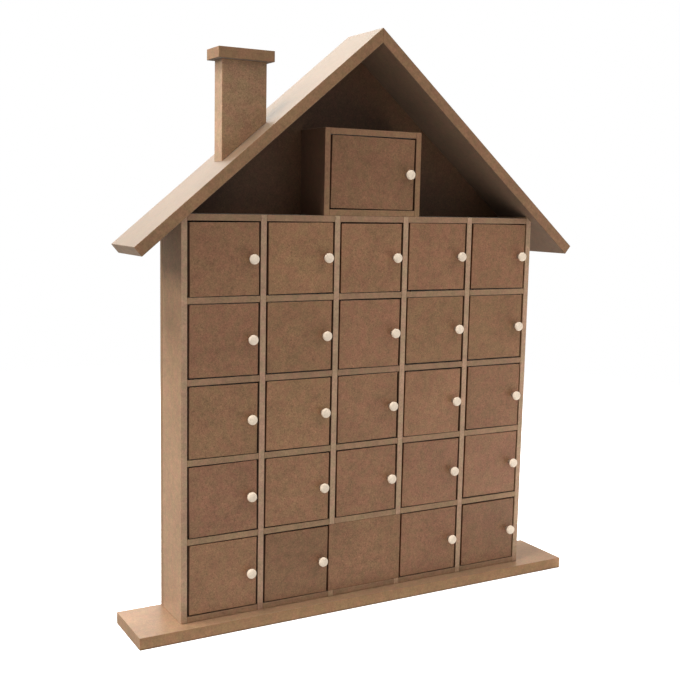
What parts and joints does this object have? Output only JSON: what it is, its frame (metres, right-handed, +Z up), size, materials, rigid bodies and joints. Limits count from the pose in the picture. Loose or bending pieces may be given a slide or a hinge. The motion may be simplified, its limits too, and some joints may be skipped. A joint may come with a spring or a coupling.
{
  "type": "advent calendar",
  "caption": "House-shaped wooden advent calendar: a lattice of small cells with knobbed hinged doors, under a pitched roof with an attic cell and a chimney.",
  "frame": {"origin": "middle of the house's width and of the base board's depth, on the surface that it stands on", "axes": "+Z up, +X to the right as seen from the front, -Y towards the front with the doors"},
  "size_m": [0.4119, 0.0578, 0.4751],
  "materials": {
    "fibreboard": "raw sanded fibreboard, matte",
    "door_fibreboard": "raw fibreboard face, matte",
    "turned_wood": "raw turned light hardwood",
    "pin_steel": "plain steel wire pin"
  },
  "bodies": {
    "house": {"base_board": "fibreboard", "side_walls": "fibreboard", "back_panel": "fibreboard", "shelves": "fibreboard", "dividers": "fibreboard", "front_panel": "fibreboard", "attic_box": "fibreboard", "roof_boards": "fibreboard", "chimney": "fibreboard", "door_pins": "pin_steel"},
    "hung_door_01": {"door_01": "door_fibreboard", "knob_01": "turned_wood"},
    "hung_door_02": {"door_02": "door_fibreboard", "knob_02": "turned_wood"},
    "hung_door_03": {"door_03": "door_fibreboard", "knob_03": "turned_wood"},
    "hung_door_04": {"door_04": "door_fibreboard", "knob_04": "turned_wood"},
    "hung_door_05": {"door_05": "door_fibreboard", "knob_05": "turned_wood"},
    "hung_door_06": {"door_06": "door_fibreboard", "knob_06": "turned_wood"},
    "hung_door_07": {"door_07": "door_fibreboard", "knob_07": "turned_wood"},
    "hung_door_08": {"door_08": "door_fibreboard", "knob_08": "turned_wood"},
    "hung_door_09": {"door_09": "door_fibreboard", "knob_09": "turned_wood"},
    "hung_door_10": {"door_10": "door_fibreboard", "knob_10": "turned_wood"},
    "hung_door_11": {"door_11": "door_fibreboard", "knob_11": "turned_wood"},
    "hung_door_12": {"door_12": "door_fibreboard", "knob_12": "turned_wood"},
    "hung_door_13": {"door_13": "door_fibreboard", "knob_13": "turned_wood"},
    "hung_door_14": {"door_14": "door_fibreboard", "knob_14": "turned_wood"},
    "hung_door_15": {"door_15": "door_fibreboard", "knob_15": "turned_wood"},
    "hung_door_16": {"door_16": "door_fibreboard", "knob_16": "turned_wood"},
    "hung_door_17": {"door_17": "door_fibreboard", "knob_17": "turned_wood"},
    "hung_door_18": {"door_18": "door_fibreboard", "knob_18": "turned_wood"},
    "hung_door_19": {"door_19": "door_fibreboard", "knob_19": "turned_wood"},
    "hung_door_20": {"door_20": "door_fibreboard", "knob_20": "turned_wood"},
    "hung_door_21": {"door_21": "door_fibreboard", "knob_21": "turned_wood"},
    "hung_door_22": {"door_22": "door_fibreboard", "knob_22": "turned_wood"},
    "hung_door_23": {"door_23": "door_fibreboard", "knob_23": "turned_wood"},
    "hung_door_24": {"door_24": "door_fibreboard", "knob_24": "turned_wood"},
    "hung_door_25": {"door_25": "door_fibreboard", "knob_25": "turned_wood"}
  },
  "joints": [
    {"name": "door_01_hinge", "type": "hinge", "parent": "house", "child": "hung_door_01", "pos_m": [-0.15471, -0.01515, 0.29335], "axis": [0, 0, -1], "range_deg": [0, 110]},
    {"name": "door_02_hinge", "type": "hinge", "parent": "house", "child": "hung_door_02", "pos_m": [-0.08971, -0.01515, 0.29335], "axis": [0, 0, -1], "range_deg": [0, 110]},
    {"name": "door_03_hinge", "type": "hinge", "parent": "house", "child": "hung_door_03", "pos_m": [-0.02471, -0.01515, 0.29335], "axis": [0, 0, -1], "range_deg": [0, 110]},
    {"name": "door_04_hinge", "type": "hinge", "parent": "house", "child": "hung_door_04", "pos_m": [0.04029, -0.01515, 0.29335], "axis": [0, 0, -1], "range_deg": [0, 110]},
    {"name": "door_05_hinge", "type": "hinge", "parent": "house", "child": "hung_door_05", "pos_m": [0.10529, -0.01515, 0.29335], "axis": [0, 0, -1], "range_deg": [0, 110]},
    {"name": "door_06_hinge", "type": "hinge", "parent": "house", "child": "hung_door_06", "pos_m": [-0.15471, -0.01515, 0.23085], "axis": [0, 0, -1], "range_deg": [0, 110]},
    {"name": "door_07_hinge", "type": "hinge", "parent": "house", "child": "hung_door_07", "pos_m": [-0.08971, -0.01515, 0.23085], "axis": [0, 0, -1], "range_deg": [0, 110]},
    {"name": "door_08_hinge", "type": "hinge", "parent": "house", "child": "hung_door_08", "pos_m": [-0.02471, -0.01515, 0.23085], "axis": [0, 0, -1], "range_deg": [0, 110]},
    {"name": "door_09_hinge", "type": "hinge", "parent": "house", "child": "hung_door_09", "pos_m": [0.04029, -0.01515, 0.23085], "axis": [0, 0, -1], "range_deg": [0, 110]},
    {"name": "door_10_hinge", "type": "hinge", "parent": "house", "child": "hung_door_10", "pos_m": [0.10529, -0.01515, 0.23085], "axis": [0, 0, -1], "range_deg": [0, 110]},
    {"name": "door_11_hinge", "type": "hinge", "parent": "house", "child": "hung_door_11", "pos_m": [-0.15471, -0.01515, 0.16835], "axis": [0, 0, -1], "range_deg": [0, 110]},
    {"name": "door_12_hinge", "type": "hinge", "parent": "house", "child": "hung_door_12", "pos_m": [-0.08971, -0.01515, 0.16835], "axis": [0, 0, -1], "range_deg": [0, 110]},
    {"name": "door_13_hinge", "type": "hinge", "parent": "house", "child": "hung_door_13", "pos_m": [-0.02471, -0.01515, 0.16835], "axis": [0, 0, -1], "range_deg": [0, 110]},
    {"name": "door_14_hinge", "type": "hinge", "parent": "house", "child": "hung_door_14", "pos_m": [0.04029, -0.01515, 0.16835], "axis": [0, 0, -1], "range_deg": [0, 110]},
    {"name": "door_15_hinge", "type": "hinge", "parent": "house", "child": "hung_door_15", "pos_m": [0.10529, -0.01515, 0.16835], "axis": [0, 0, -1], "range_deg": [0, 110]},
    {"name": "door_16_hinge", "type": "hinge", "parent": "house", "child": "hung_door_16", "pos_m": [-0.15471, -0.01515, 0.10585], "axis": [0, 0, -1], "range_deg": [0, 110]},
    {"name": "door_17_hinge", "type": "hinge", "parent": "house", "child": "hung_door_17", "pos_m": [-0.08971, -0.01515, 0.10585], "axis": [0, 0, -1], "range_deg": [0, 110]},
    {"name": "door_18_hinge", "type": "hinge", "parent": "house", "child": "hung_door_18", "pos_m": [-0.02471, -0.01515, 0.10585], "axis": [0, 0, -1], "range_deg": [0, 110]},
    {"name": "door_19_hinge", "type": "hinge", "parent": "house", "child": "hung_door_19", "pos_m": [0.04029, -0.01515, 0.10585], "axis": [0, 0, -1], "range_deg": [0, 110]},
    {"name": "door_20_hinge", "type": "hinge", "parent": "house", "child": "hung_door_20", "pos_m": [0.10529, -0.01515, 0.10585], "axis": [0, 0, -1], "range_deg": [0, 110]},
    {"name": "door_21_hinge", "type": "hinge", "parent": "house", "child": "hung_door_21", "pos_m": [-0.15471, -0.01515, 0.04335], "axis": [0, 0, -1], "range_deg": [0, 110]},
    {"name": "door_22_hinge", "type": "hinge", "parent": "house", "child": "hung_door_22", "pos_m": [-0.08971, -0.01515, 0.04335], "axis": [0, 0, -1], "range_deg": [0, 110]},
    {"name": "door_23_hinge", "type": "hinge", "parent": "house", "child": "hung_door_23", "pos_m": [0.04029, -0.01515, 0.04335], "axis": [0, 0, -1], "range_deg": [0, 110]},
    {"name": "door_24_hinge", "type": "hinge", "parent": "house", "child": "hung_door_24", "pos_m": [0.10529, -0.01515, 0.04335], "axis": [0, 0, -1], "range_deg": [0, 110]},
    {"name": "door_25_hinge", "type": "hinge", "parent": "house", "child": "hung_door_25", "pos_m": [-0.03506, -0.01515, 0.36165], "axis": [0, 0, -1], "range_deg": [0, 110]}
  ]
}
